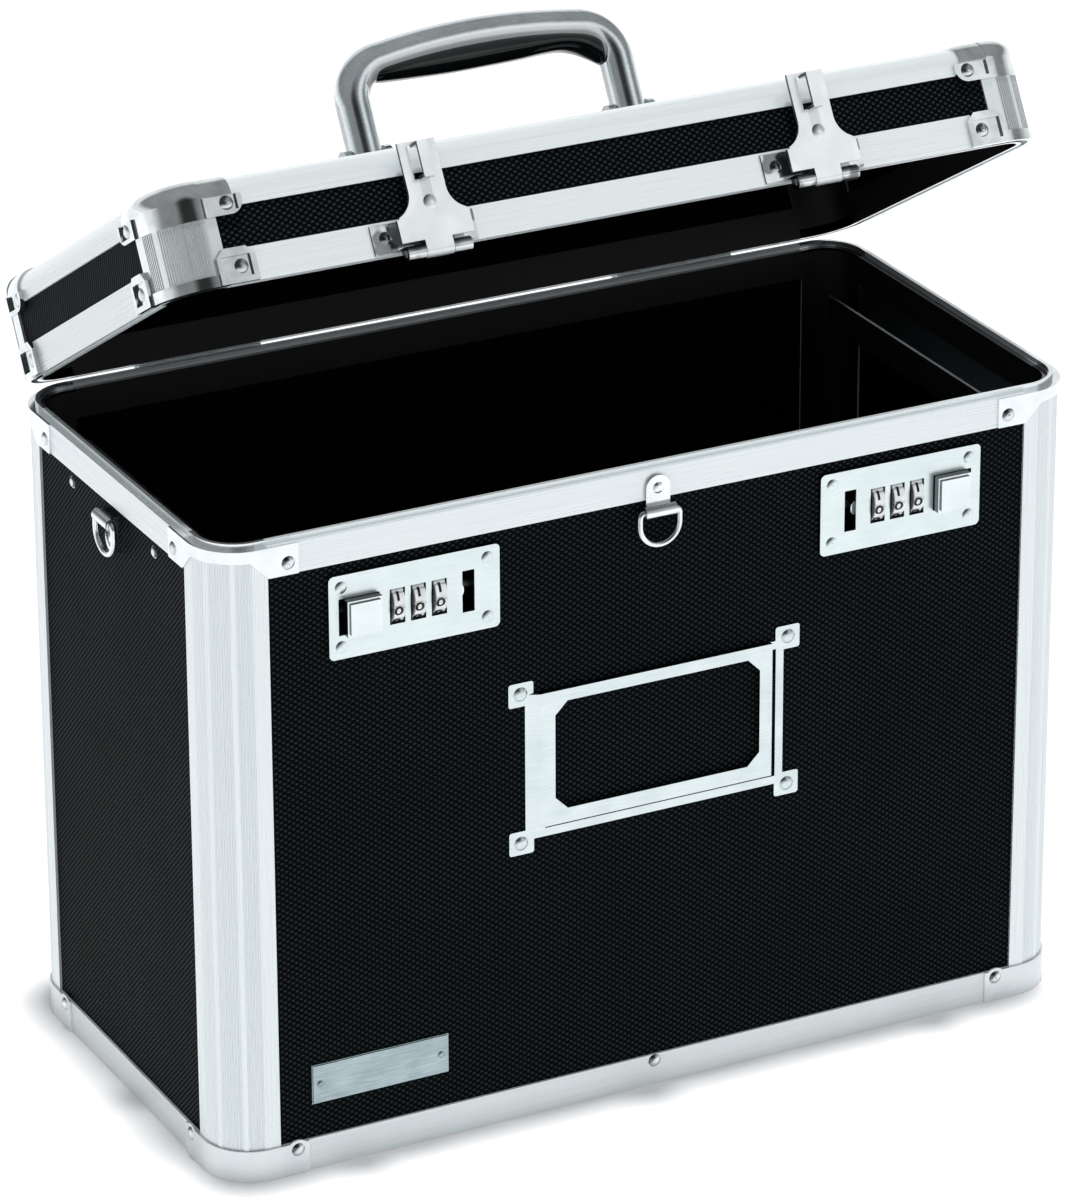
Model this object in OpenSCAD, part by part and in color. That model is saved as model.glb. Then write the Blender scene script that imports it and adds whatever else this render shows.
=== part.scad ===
// Portable file box: board walls in aluminium edging, a hinged lid with two hasps,
// two combination locks, a folding carrying handle and three strap rings.
// The origin is under the middle of the case. X runs along the front, which faces -Y.

/* [Case] */
// Overall width of the case
case_w = 350; // [335:1:390]
// Overall depth of the case
case_d = 172; // [165:1:210]
// Height of the case up to the seam with the lid
case_h = 248; // [230:1:290]
// Thickness of the wall boards
board_t = 4; // [3:0.5:5]
// Thickness of the aluminium skins
skin_t = 1; // [0.8:0.1:1.2]
// Outer radius of the corner posts
post_r = 18; // [16:0.5:19]
// Width of a corner post on each face
post_w = 22; // [21:0.5:24]
// Radius of the flutes drawn along the posts
flute_r = 0.45; // [0.3:0.05:0.6]
// Height of the edging round the top of the case
rim_h = 11.5; // [10.5:0.5:14]
// Height of the edging round the bottom of the case
base_h = 12.5; // [11:0.5:15]
// Height of the tongue that stands on the rim
tongue_h = 2; // [1.5:0.1:2.5]
// Thickness of the tongue
tongue_t = 1.5; // [1:0.1:1.8]

/* [Lid] */
// Height of the lid from the seam to its top
lid_h = 38; // [36:1:50]
// Height of the edging round the lower side of the lid
lid_rim_h = 12; // [11:0.5:13]
// Height of the rounded edging round the top of the lid
lid_edge_h = 11; // [10:0.5:12]
// Rounding of the top edging
lid_edge_r = 7; // [6.5:0.5:8]
// Angle at which the lid stands open
lid_open = 30.6; // [0:0.1:60]
// Gap between the rims when the lid is shut
seam_gap = 0.3; // [0.2:0.1:0.6]

/* [Corner plates] */
// How far the corner plates stand proud
plate_t = 0.8; // [0.5:0.1:1.2]
// Reach of a rim corner's ear from the corner
rim_ear = 33.5; // [31:0.5:38]
// Reach of a base corner's ear from the corner
base_ear = 33; // [31:0.5:38]
// Distance of a case ear's rivet from the corner
ear_rivet = 28.5; // [27:0.5:30]
// Reach of a lid ear from the corner
lid_ear = 32.5; // [31:0.5:35]
// How far the lid's ears stand proud
lid_ear_t = 1.8; // [1.5:0.1:2.2]
// Depth of the pocket in a lid ear
pocket_d = 1.2; // [0.8:0.1:1.3]
// Radius of a rivet head
rivet_r = 2.6; // [2.2:0.1:3]
// Height of a rivet head
rivet_h = 1; // [0.8:0.1:1.4]

/* [Hinges] */
// Distance of each hinge's middle from the side of the case
hinge_in = 75; // [55:1:110]
// Width of a hinge
hinge_w = 50; // [40:5:60]
// Outer radius of a hinge knuckle
knuckle_r = 2.6; // [2.4:0.1:3]
// Radius of a hinge pin
pin_r = 1.25; // [1:0.05:1.4]
// Thickness of a hinge leaf
leaf_t = 1.2; // [1:0.1:1.4]
// Radial running clearance of pins and shafts
run_fit = 0.05; // [0.02:0.01:0.1]

/* [Locks] */
// Distance of each lock's middle from the side of the case
lock_in = 76.3; // [65:0.1:85]
// Offset of both locks and hasps from the middle of the front
lock_shift = 2; // [-3:0.5:3]
// Height of the locks' centre below the seam
lock_drop = 32; // [31:0.5:34]
// Width of a lock plate
lock_w = 67; // [67:1:70]
// Height of a lock plate
lock_h = 32; // [31:1:36]
// Thickness of a lock plate
lock_t = 1.5; // [1.2:0.1:1.6]
// Distance from the plate's centre to the hasp slot
slot_off = 21.1; // [20.5:0.1:22]
// Radius of a dial
dial_r = 9; // [8.6:0.1:9.3]
// Width of a dial
dial_w = 5.2; // [4.8:0.1:5.4]
// Distance from dial to dial
dial_pitch = 8.2; // [8:0.1:8.4]
// How far a dial stands out of its plate
dial_out = 1.4; // [1.2:0.1:1.8]
// Number of positions on a dial
dial_count = 10; // [8:1:10]
// Travel of the lock button
button_travel = 1.8; // [1.6:0.1:2]

/* [Hasps] */
// Width of the hasp's tongue
hasp_w = 14.5; // [12:0.5:16]
// Length of the hasp from its pin to its tip
hasp_len = 38.5; // [37:0.5:40]
// Thickness of the hasp leaf
hasp_t = 1.4; // [1.2:0.1:1.4]
// Height of the loop on the hasp
loop_h = 5.1; // [4.8:0.1:5.2]
// Width of the loop
loop_w = 4; // [3.5:0.1:4.2]
// Length of the loop
loop_len = 13; // [12:0.5:13.5]

/* [Handle] */
// Width of the handle between its leg centres
handle_w = 108; // [96:1:130]
// Height of the handle above its pivot
handle_h = 45.8; // [42:0.2:60]
// Radius of the handle's bar
bar_r = 6.5; // [5.5:0.1:7]
// Height of the handle's pivot above the lid board
pivot_h = 10; // [9:0.5:12]

/* [Rings and fittings] */
// Half width of a strap ring at its wire's centre
ring_r = 8; // [7:0.5:9]
// Radius of the ring's wire
ring_wire = 1.15; // [0.9:0.05:1.3]
// Length of the ring's straight sides
ring_leg = 3; // [2:0.5:5]
// Width of a ring bracket
tab_w = 9.7; // [8:0.1:11]
// Width of the label holder between its outer edges
label_w = 106; // [90:1:130]
// Height of the label holder
label_h = 57.5; // [50:0.5:80]
// Height of the label holder's centre below the seam
label_drop = 106.8; // [100:0.1:130]
// Width of the label holder's ears
label_ear = 10; // [9:0.5:12]
// Width of the name plate
name_w = 55; // [40:1:70]
// Height of the name plate
name_h = 15.6; // [12:0.2:20]
// Distance of a file rail's lip from the outside of the case
rail_reach = 19.5; // [17:0.5:24]
// Height of the file rails' rivets below the seam
rail_drop = 16.5; // [15:0.5:20]

/* [Hidden] */
$fn = 48;
cut = 1;
seat = 0.2;
side_x = case_w / 2;
side_y = case_d / 2;
hinge_x = side_x - hinge_in;
lock_x = side_x - lock_in;
label_z = case_h - label_drop;
wall = board_t + 2 * skin_t;
inner_r = post_r - wall;
span_x = case_w - 2 * post_r;
span_y = case_d - 2 * post_r;
case_board_z = [wall, case_h - skin_t - seat];
floor_z = skin_t;

tongue_v = 2;
groove_v = [tongue_v - 0.4, tongue_v + tongue_t + 0.4];
lid_z = case_h + seam_gap;
lid_web = 3.5;
lid_board_z = [lid_web, lid_h - wall - seat];
lid_ear_low = 24;

knuckle_y = case_d / 2 + knuckle_r + run_fit;
knuckle_z = case_h + seam_gap / 2;
knuckle_n = 5;
knuckle_gap = 0.3;
leaf_len = 26;
leaf_clear = knuckle_r + 0.6;

// flutes lie in three groups round the corner, measured from the side face
flute_groups = [[8, 6], [34, 8], [66, 6]];
flute_step = 3.2;

// lock: measured from the plate's outer edge, inwards, and from the case's face
lock_z = case_h - lock_drop;
slot_s = lock_w / 2 + slot_off;
slot_w = loop_w + 0.8;
slot_h = loop_len + 3;
dial_s = 26.7;
plate_face = skin_t - lock_t;
dial_v = plate_face - dial_out + dial_r;
window_w = dial_w + 0.8;
window_h = 2 * (sqrt(pow(dial_r, 2) - pow(dial_v - skin_t, 2)) + seat);
shaft_r = 2;
button_s = 5.8;
button_w = 13.6;
button_out = 4.2;
housing_s = [2, lock_w - 4.5];
housing_h = 24;
housing_t = 1.2;
housing_v = dial_v + dial_r + 0.8 + housing_t;
slide_v = skin_t + 0.1;
slide_t = 1.4;
nose_r = 3.5;
nose_tip = slot_s - slot_w / 2 + 1.4;
spring_r = 1.6;
spring_z = 6;
lug_s = 14;
lock_rivet_in = 4.8;

// hasp: the pin lies just under the lid's edge and in front of its face
hasp_v = -3.8;
hasp_z = -1.2;
hasp_x = [for (side = [-1, 1]) lock_shift + side * (lock_x - slot_off)];
loop_z = lock_drop + seam_gap + hasp_z;
base_x = [-22.5, 17.5];
base_top = 11;
shoulder_w = 28;
loop_t = 1.2;

handle_rb = 15;
handle_ra = 250;
handle_bx = handle_w / 2 - handle_rb;
handle_zc = handle_h - bar_r - handle_ra;
handle_bz = handle_zc + sqrt(pow(handle_ra - handle_rb, 2) - pow(handle_bx, 2));
handle_a = atan(handle_bx / (handle_bz - handle_zc));
handle_pin = 2.5;
leg_r = bar_r + 0.1;
handle_z = lid_h - skin_t + pivot_h;
ear_t = 2.5;
grip_r = 6.6;
grip_drop = 5.4;
bracket_base = [26, 24, 2];
bracket_ear = 5;
screw_r = 1.8;

ring_bar_v = -2.4;
roll_r = ring_wire + 1.2;
front_ring_z = case_h - 15.4;
side_ring_z = case_h - 17;
ring_corner = 2;

rail_z = case_h - rail_drop;
rail_t = 1.2;
rail_len = span_y - 8;
rail_flange = 9.5;
rail_bolt_y = 36;
name_x = 62.5 - side_x;
name_z = 34;
cover_gap = 1;
sheet_t = 0.6;
label_ear_h = label_ear - 0.7;
label_lip = 5.5;
label_fold = 8;
label_strip = 3.2;
label_bevel = 5;
label_low = 4.5;

// Puts a part drawn in a corner's own plan, running inwards, at one corner of the case
module at_corner(sx, sy) {
    translate([sx * case_w / 2, sy * case_d / 2, 0])
        mirror([sx > 0 ? 1 : 0, 0, 0])
            mirror([0, sy > 0 ? 1 : 0, 0])
                children();
}

module at_corners() {
    for (sx = [-1, 1], sy = [-1, 1])
        at_corner(sx, sy)
            children();
}

// Draws its child once as it stands and once with its first two axes exchanged
module both_faces() {
    for (k = [0, 1])
        mirror([k, -k, 0])
            children();
}

// Puts a part drawn for the shut lid, with z from the seam, on the open lid
module on_lid() {
    translate([0, knuckle_y, knuckle_z])
        rotate([-lid_open, 0, 0])
            translate([0, -knuckle_y, lid_z - knuckle_z])
                children();
}

// Extrudes a section, drawn as depth from the face and height, along all four sides
module along_sides(end = post_w) {
    for (i = [0:3]) {
        len = (i % 2 == 0 ? case_w : case_d) - 2 * end;
        reach = i % 2 == 0 ? case_d / 2 : case_w / 2;
        rotate([0, 0, 90 * i])
            translate([-len / 2, -reach, 0])
                rotate([90, 0, 90])
                    linear_extrude(len)
                        children();
    }
}

// Extrudes an outline, drawn as X and height, from depth v0 to v1 behind the front face
module on_front(v0, v1) {
    translate([0, -case_d / 2 + v1, 0])
        rotate([90, 0, 0])
            linear_extrude(v1 - v0)
                children();
}

module box_2d(x0, x1, y0, y1) {
    translate([x0, y0])
        square([x1 - x0, y1 - y0]);
}

module rounded_2d(w, h, r) {
    square([w, h - 2 * r], center = true);
    square([w - 2 * r, h], center = true);
    for (x = [-1, 1], y = [-1, 1])
        translate([x * (w / 2 - r), y * (h / 2 - r)])
            circle(r);
}

// Part of a ring round the post's centre that lies in the corner's own square
module corner_ring(r0, r1) {
    intersection() {
        translate([post_r, post_r])
            difference() {
                circle(r1, $fn = 96);
                circle(r0, $fn = 96);
            }
        translate([-post_r, -post_r])
            square(2 * post_r);
    }
}

// Band from depth v0 to v1 that follows the corner and runs on to the post's edges
module corner_band(v0, v1) {
    corner_ring(post_r - v1, post_r - v0);
    both_faces()
        box_2d(post_r, post_w, v0, v1);
}

// A dome that sits on the plane z = 0
module rivet_head(r = rivet_r, h = rivet_h) {
    ball = (r * r + h * h) / (2 * h);
    rotate_extrude()
        intersection() {
            translate([0, h - ball])
                circle(ball, $fn = 96);
            square([r, h]);
        }
}

// Rivet heads on a corner's two ears, at a distance from the corner and a height
module ear_rivets(u, z, proud) {
    both_faces()
        translate([u, -proud, z])
            rotate([90, 0, 0])
                rivet_head();
}

module rounded_board_2d() {
    difference() {
        square([case_w - 2 * wall, case_d - 2 * wall], center = true);
        for (sx = [-1, 1], sy = [-1, 1])
            translate([sx * (case_w / 2 - wall), sy * (case_d / 2 - wall)])
                square(2 * inner_r, center = true);
    }
    for (sx = [-1, 1], sy = [-1, 1])
        translate([sx * span_x / 2, sy * span_y / 2])
            circle(inner_r, $fn = 96);
}

module wall_board(i, z0, z1) {
    len = i % 2 == 0 ? span_x : span_y;
    reach = i % 2 == 0 ? case_d / 2 : case_w / 2;
    rotate([0, 0, 90 * i])
        translate([-len / 2, skin_t - reach, z0])
            cube([len, board_t, z1 - z0]);
}

module at_lock(side) {
    translate([lock_shift + side * lock_x, -case_d / 2, lock_z])
        mirror([side > 0 ? 1 : 0, 0, 0])
            translate([-lock_w / 2, 0, 0])
                children();
}

// Extrudes an outline in the lock's own frame, from depth v0 to v1
module lock_slab(v0, v1) {
    translate([0, v1, 0])
        rotate([90, 0, 0])
            linear_extrude(v1 - v0)
                children();
}

module panel_front() {
    color("#17181a")
        difference() {
            wall_board(0, case_board_z[0], case_board_z[1]);
            for (side = [-1, 1])
                at_lock(side)
                    lock_slab(0, wall)
                        box_2d(housing_s[0] - seat, housing_s[1] + seat, -housing_h / 2 - seat, housing_h / 2 + seat);
        }
}

module panel_back() {
    color("#17181a")
        wall_board(2, case_board_z[0], case_board_z[1]);
}

module panel_left() {
    color("#17181a")
        wall_board(3, case_board_z[0], case_board_z[1]);
}

module panel_right() {
    color("#17181a")
        wall_board(1, case_board_z[0], case_board_z[1]);
}

module panel_floor() {
    color("#17181a")
        translate([0, 0, floor_z])
            linear_extrude(board_t)
                rounded_board_2d();
}

// Hollow quarter-round post with a slot for a board on each face and flutes outside
module post_section() {
    difference() {
        union() {
            corner_ring(post_r - wall, post_r);
            both_faces() {
                box_2d(post_r, post_w, 0, skin_t);
                box_2d(post_r, post_w, wall - skin_t, wall);
            }
        }
        intersection() {
            corner_ring(post_r - wall + skin_t, post_r - skin_t);
            square(post_r - skin_t);
        }
        for (group = flute_groups, i = [0:group[1] - 1])
            translate([post_r, post_r])
                rotate(180 + group[0] + i * flute_step)
                    translate([post_r + flute_r / 3, 0])
                        circle(flute_r, $fn = 16);
    }
}

module case_post(sx, sy) {
    color("#c9cdd0")
        at_corner(sx, sy)
            translate([0, 0, skin_t])
                linear_extrude(case_h - 2 * skin_t)
                    post_section();
}

// Channel over the top edge of a board, with the tongue that meets the lid
module rim_section() {
    box_2d(0, skin_t, case_h - rim_h, case_h);
    box_2d(wall - skin_t, wall, case_h - rim_h, case_h);
    box_2d(0, wall, case_h - skin_t, case_h);
    box_2d(tongue_v, tongue_v + tongue_t, case_h - skin_t, case_h + tongue_h);
}

module rim_rails() {
    color("#d4d7d9")
        along_sides()
            rim_section();
}

// Ears of a corner plate: the outline runs along the face and upwards
module corner_ears(proud, reach, z0, z1) {
    both_faces()
        intersection() {
            translate([0, 0, z0])
                linear_extrude(z1 - z0) {
                    corner_ring(post_r, post_r + proud);
                    box_2d(post_r, reach, -proud, 0);
                }
            translate([0, post_r, 0])
                rotate([90, 0, 0])
                    linear_extrude(post_r + proud + cut)
                        children();
        }
}

module rim_corners() {
    strip = 4.5;
    foot = case_h - rim_h;
    chamfer = rim_h - strip;
    color("#dfe2e4")
        at_corners() {
            translate([0, 0, case_h - strip])
                linear_extrude(strip)
                    corner_ring(post_r, post_r + plate_t);
            translate([0, 0, case_h - skin_t])
                linear_extrude(skin_t)
                    corner_band(0, wall);
            translate([0, 0, case_h - skin_t])
                linear_extrude(skin_t + tongue_h)
                    corner_band(tongue_v, tongue_v + tongue_t);
            corner_ears(plate_t, rim_ear, foot, case_h)
                polygon([[post_w - chamfer, case_h - strip], [post_w, foot], [rim_ear, foot],
                    [rim_ear, case_h], [post_w - chamfer, case_h]]);
        }
}

// Edging under the case: an upward channel for the wall and an inward one for the floor
module base_section() {
    box_2d(0, skin_t, 0, base_h);
    box_2d(0, base_h, 0, skin_t);
    box_2d(wall - skin_t, wall, skin_t, base_h);
    box_2d(0, base_h, wall - skin_t, wall);
}

module base_rails() {
    color("#d4d7d9")
        difference() {
            along_sides()
                base_section();
            translate([0, 0, floor_z])
                linear_extrude(board_t)
                    rounded_board_2d();
        }
}

module base_corners() {
    hump_r = 5;
    color("#dfe2e4")
        at_corners() {
            linear_extrude(base_h)
                corner_ring(post_r, post_r + plate_t);
            linear_extrude(skin_t)
                corner_band(0, wall);
            corner_ears(plate_t, base_ear, 0, base_h + 2) {
                box_2d(0, base_ear, 0, base_h);
                translate([ear_rivet, base_h + 1.2 - hump_r])
                    circle(hump_r);
            }
        }
}

module case_rivets() {
    color("#e3e5e6") {
        at_corners() {
            ear_rivets(ear_rivet + 1, case_h - rim_h + 4.6, plate_t);
            ear_rivets(ear_rivet, base_h - 2.6, plate_t);
        }
        for (y = [-1, 1])
            translate([0, y * case_d / 2, base_h - 2.6])
                rotate([y < 0 ? 90 : -90, 0, 0])
                    rivet_head();
        for (x = [-1, 1], y = [-1, 1])
            translate([x * (case_w / 2 - skin_t), y * rail_bolt_y, rail_z])
                rotate([0, 90 * x, 0])
                    rivet_head(r = 2.4);
    }
}

// Bent strip on the inside of a side wall that carries the hooks of hanging files
module file_rail(x) {
    low = rail_z - rail_flange;
    color("#b9bdc0")
        translate([x * case_w / 2, rail_len / 2, 0])
            mirror([x > 0 ? 1 : 0, 0, 0])
                rotate([90, 0, 0])
                    linear_extrude(rail_len) {
                        box_2d(wall - skin_t, wall - skin_t + rail_t, low, case_h - rim_h - 0.5);
                        box_2d(wall - skin_t, rail_reach, low, low + rail_t);
                        box_2d(rail_reach - rail_t, rail_reach, low, case_h - rim_h - 2);
                    }
}

module label_holder() {
    ear_x = label_w / 2 + 1.6;
    ear_z = label_h / 2 + 0.7;
    window = [label_w - 22, label_h - 14.7] / 2;
    cover_l = -label_w / 2 + label_lip;
    cover_r = label_w / 2 - label_lip;
    cover_b = -label_h / 2 + label_low;
    foot = -label_w / 2 + 1.3;
    back = skin_t;
    front = back - sheet_t - cover_gap - sheet_t;
    color("#dcdfe0")
        translate([0, 0, label_z]) {
            on_front(back - sheet_t, back)
                difference() {
                    union() {
                        square([label_w, label_h], center = true);
                        for (x = [-1, 1], z = [-1, 1])
                            translate([x * ear_x, z * ear_z])
                                rounded_2d(label_ear, label_ear_h, 1);
                    }
                    box_2d(-label_w / 2 + label_fold, label_w / 2 - label_strip,
                        -label_h / 2 + label_strip, label_h / 2 - label_strip);
                }
            for (x = [-1, 1], z = [-1, 1])
                translate([x * (ear_x + 0.2), -case_d / 2 + back - sheet_t, z * (ear_z + 0.2)])
                    rotate([90, 0, 0])
                        rivet_head(r = 2.8, h = 1.1);
            on_front(front, front + sheet_t)
                difference() {
                    box_2d(cover_l, cover_r, cover_b, label_h / 2);
                    translate([0.4, 2.8])
                        label_window(window);
                }
            on_front(front, back - sheet_t)
                box_2d(cover_l, cover_r, label_h / 2 - sheet_t, label_h / 2);
            translate([0, -case_d / 2, cover_b])
                linear_extrude(label_h / 2 - cover_b)
                    polygon([[foot, back - 0.1], [foot, back - sheet_t], [cover_l, front],
                        [cover_l + sheet_t, front], [cover_l + sheet_t, front + sheet_t],
                        [foot + sheet_t, back - 0.1]]);
        }
}

// Window with its corners cut off
module label_window(half) {
    difference() {
        square(2 * half, center = true);
        for (x = [-1, 1], z = [-1, 1])
            translate([x * half[0], z * half[1]])
                rotate(45)
                    square(label_bevel * sqrt(2), center = true);
    }
}

module name_plate() {
    plate = 1;
    bevel = 0.4;
    color("#c4c7c9") {
        translate([name_x, 0, name_z]) {
            on_front(skin_t - plate + bevel, skin_t)
                square([name_w, name_h], center = true);
            on_front(skin_t - plate, skin_t - plate + bevel)
                square([name_w - 2 * bevel, name_h - 2 * bevel], center = true);
            for (x = [-1, 1])
                translate([x * (name_w / 2 - 3.2), -case_d / 2 + skin_t - plate, 0])
                    rotate([90, 0, 0])
                        rivet_head(r = 1.4, h = 0.5);
        }
    }
}

// Places a ring fitting on the front, left or right wall, drawn for the front
module on_wall(i) {
    if (i == 0)
        translate([0, -case_d / 2, front_ring_z])
            children();
    else
        rotate([0, 0, 90 * i])
            translate([0, -case_w / 2, side_ring_z])
                children();
}

// Strip folded round the ring's bar; its tab goes up to the rim or down the wall
module ring_bracket(i) {
    up = i == 0;
    back = up ? 0 : skin_t;
    tab_len = 8.4;
    tab_t = 1.2;
    dir = up ? 1 : -1;
    color("#dcdfe0")
        on_wall(i)
            difference() {
                union() {
                    translate([-tab_w / 2 - 1.4, ring_bar_v, 0])
                        rotate([0, 90, 0])
                            cylinder(r = roll_r, h = tab_w + 2.8);
                    translate([0, back, 0])
                        rotate([90, 0, 0])
                            linear_extrude(tab_t) {
                                translate([0, dir * tab_len])
                                    circle(tab_w / 2);
                                translate([0, dir * tab_len / 2])
                                    square([tab_w, tab_len], center = true);
                            }
                    translate([-tab_w / 2, ring_bar_v, -roll_r])
                        cube([tab_w, back - ring_bar_v, 2 * roll_r]);
                    translate([0, back - tab_t, dir * tab_len])
                        rotate([90, 0, 0])
                            rivet_head(r = 2.2, h = 0.7);
                }
                translate([-tab_w, ring_bar_v, 0])
                    rotate([0, 90, 0])
                        cylinder(r = ring_wire + 0.15, h = 2 * tab_w);
            }
}

// D-shaped wire ring that hangs by its straight bar
module strap_ring(i) {
    bar = ring_r - ring_corner;
    color("#e6e8e9")
        on_wall(i)
            translate([0, ring_bar_v, 0]) {
                translate([-bar, 0, 0])
                    rotate([0, 90, 0])
                        cylinder(r = ring_wire, h = 2 * bar);
                for (x = [-1, 1]) {
                    mirror([x > 0 ? 1 : 0, 0, 0])
                        translate([-bar, 0, -ring_corner])
                            rotate([90, 0, 0])
                                rotate_extrude(angle = 90, start = 90)
                                    translate([ring_corner, 0])
                                        circle(ring_wire);
                    translate([x * ring_r, 0, -ring_corner - ring_leg])
                        cylinder(r = ring_wire, h = ring_leg);
                }
                translate([0, 0, -ring_corner - ring_leg])
                    rotate([90, 0, 0])
                        rotate_extrude(angle = 180, start = 180)
                            translate([ring_r, 0])
                                circle(ring_wire);
            }
}

// Knuckles of one leaf: the case leaf has the odd ones, the lid leaf the even ones
module knuckles(first) {
    step = hinge_w / knuckle_n;
    for (k = [first:2:knuckle_n - 1])
        translate([-hinge_w / 2 + k * step + knuckle_gap / 2, 0, 0])
            children();
}

// One hinge leaf hanging down from the pin, with a joggle onto the recessed board
module hinge_leaf(first, skin_len) {
    step = hinge_w / knuckle_n - knuckle_gap;
    face = -knuckle_r - run_fit;
    difference() {
        union() {
            translate([-hinge_w / 2, face, -skin_len + seat])
                cube([hinge_w, leaf_t, skin_len - leaf_clear - seat]);
            translate([-hinge_w / 2, face - skin_t, -leaf_len])
                cube([hinge_w, leaf_t, leaf_len - skin_len - seat]);
            translate([-hinge_w / 2, face - skin_t, -skin_len - seat - leaf_t])
                cube([hinge_w, leaf_t + skin_t, leaf_t]);
            translate([-hinge_w / 2, face, -skin_len - seat - leaf_t])
                cube([hinge_w, leaf_t, leaf_t + 3 * seat]);
            knuckles(first) {
                rotate([0, 90, 0])
                    cylinder(r = knuckle_r, h = step);
                translate([0, face, -leaf_clear - cut])
                    cube([step, leaf_t, leaf_clear + cut]);
            }
            for (k = [-1:1])
                translate([k * hinge_w / 3, face - skin_t + leaf_t, -leaf_len + 4.5])
                    rotate([-90, 0, 0])
                        rivet_head(r = 2.2, h = 0.8);
        }
        translate([-hinge_w, 0, 0])
            rotate([0, 90, 0])
                cylinder(r = first == 0 ? pin_r : pin_r + run_fit, h = 2 * hinge_w);
    }
}

module hinge_leaves_case() {
    color("#cfd2d4")
        for (x = [-hinge_x, hinge_x])
            translate([x, knuckle_y, knuckle_z])
                hinge_leaf(0, rim_h + seam_gap / 2);
}

module hinge_leaves_lid() {
    color("#cfd2d4")
        on_lid()
            for (x = [-hinge_x, hinge_x])
                translate([x, knuckle_y, knuckle_z - lid_z])
                    mirror([0, 0, 1])
                        hinge_leaf(1, lid_rim_h + seam_gap / 2);
}

module hinge_pins() {
    color("#a9adb0")
        for (x = [-hinge_x, hinge_x])
            translate([x - hinge_w / 2, knuckle_y, knuckle_z])
                rotate([0, 90, 0])
                    cylinder(r = pin_r, h = hinge_w);
}

module lock_plate(side) {
    color("#dde0e2")
        at_lock(side) {
            lock_slab(plate_face, skin_t)
                difference() {
                    translate([lock_w / 2, 0])
                        rounded_2d(lock_w, lock_h, 2);
                    box_2d(button_s - button_travel - seat, button_s + button_w + 0.4,
                        -button_w / 2 - seat, button_w / 2 + seat);
                    for (i = [0:2])
                        translate([dial_s + i * dial_pitch, 0])
                            square([window_w, window_h], center = true);
                    translate([slot_s, 0])
                        square([slot_w, slot_h], center = true);
                }
            for (s = [lock_rivet_in, lock_w - lock_rivet_in], z = [-1, 1])
                translate([s, plate_face, z * (lock_h / 2 - 4.6)])
                    rotate([90, 0, 0])
                        rivet_head(r = 2.4, h = 0.6);
        }
}

// Pressed box behind the plate that holds the shaft and guides the slide
module lock_housing(side) {
    color("#8f9497")
        at_lock(side)
            difference() {
                lock_slab(skin_t, housing_v)
                    box_2d(housing_s[0], housing_s[1], -housing_h / 2, housing_h / 2);
                lock_slab(skin_t - cut, housing_v - housing_t)
                    box_2d(housing_s[0] + housing_t, housing_s[1] - housing_t,
                        -housing_h / 2 + housing_t, housing_h / 2 - housing_t);
            }
}

module dial_shafts() {
    color("#9ba0a3")
        for (side = [-1, 1])
            at_lock(side)
                translate([housing_s[0] + housing_t, dial_v, 0])
                    rotate([0, 90, 0])
                        cylinder(r = shaft_r, h = housing_s[1] - housing_s[0] - 2 * housing_t);
}

module dial(side, i) {
    groove_r = 0.8;
    color("#e4e6e7")
        at_lock(side)
            translate([dial_s + i * dial_pitch - dial_w / 2, dial_v, 0])
                rotate([0, 90, 0])
                    difference() {
                        cylinder(r = dial_r, h = dial_w);
                        translate([0, 0, -cut])
                            cylinder(r = shaft_r + run_fit, h = dial_w + 2 * cut);
                        for (k = [0:dial_count - 1])
                            rotate(360 / dial_count * (k + 0.5))
                                translate([dial_r + groove_r / 2, 0, -cut])
                                    cylinder(r = groove_r, h = dial_w + 2 * cut, $fn = 24);
                    }
}

// Button cap that stands in the plate's window, with bevelled front edges
module lock_button(side) {
    bevel = 0.9;
    front = plate_face - button_out;
    color("#e9ebec")
        at_lock(side)
            translate([button_s + button_w / 2, 0, 0]) {
                lock_slab(front + bevel, slide_v)
                    square(button_w, center = true);
                lock_slab(front, front + bevel)
                    square(button_w - 2 * bevel, center = true);
            }
}

// Slide behind the plate: flange under the button, bar under the dials, rounded nose
module lock_bolt(side) {
    bar_z = -housing_h / 2 + housing_t + 0.2;
    bar_h = 1.3;
    riser = [dial_s + 2 * dial_pitch + dial_w / 2 + button_travel + 0.4, nose_tip - nose_r];
    flange_end = dial_s - dial_w / 2 - 1.4;
    color("#b4b8bb")
        at_lock(side) {
            lock_slab(slide_v, slide_v + slide_t) {
                box_2d(button_s, flange_end, bar_z, button_w / 2 + 1.6);
                box_2d(riser[0], riser[1], bar_z, nose_r);
                intersection() {
                    translate([nose_tip - nose_r, 0])
                        circle(nose_r);
                    box_2d(riser[1], nose_tip + cut, -nose_r, nose_r);
                }
                box_2d(flange_end, riser[0], bar_z, bar_z + bar_h);
            }
            lock_slab(slide_v + slide_t, slide_v + slide_t + 3)
                box_2d(lug_s, lug_s + 1.6, spring_z - 2, spring_z + 2);
        }
}

module lock_spring(side) {
    color("#777c80")
        at_lock(side)
            translate([housing_s[0] + housing_t, slide_v + slide_t + spring_r + 0.1, spring_z])
                rotate([0, 90, 0])
                    difference() {
                        cylinder(r = spring_r, h = lug_s - housing_s[0] - housing_t);
                        translate([0, 0, -cut])
                            cylinder(r = spring_r - 0.5, h = lock_w);
                    }
}

module lid_top() {
    color("#17181a")
        on_lid()
            translate([0, 0, lid_h - skin_t - board_t])
                linear_extrude(board_t)
                    rounded_board_2d();
}

module lid_walls() {
    color("#17181a")
        on_lid()
            for (i = [0:3])
                wall_board(i, lid_board_z[0], lid_board_z[1]);
}

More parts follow.
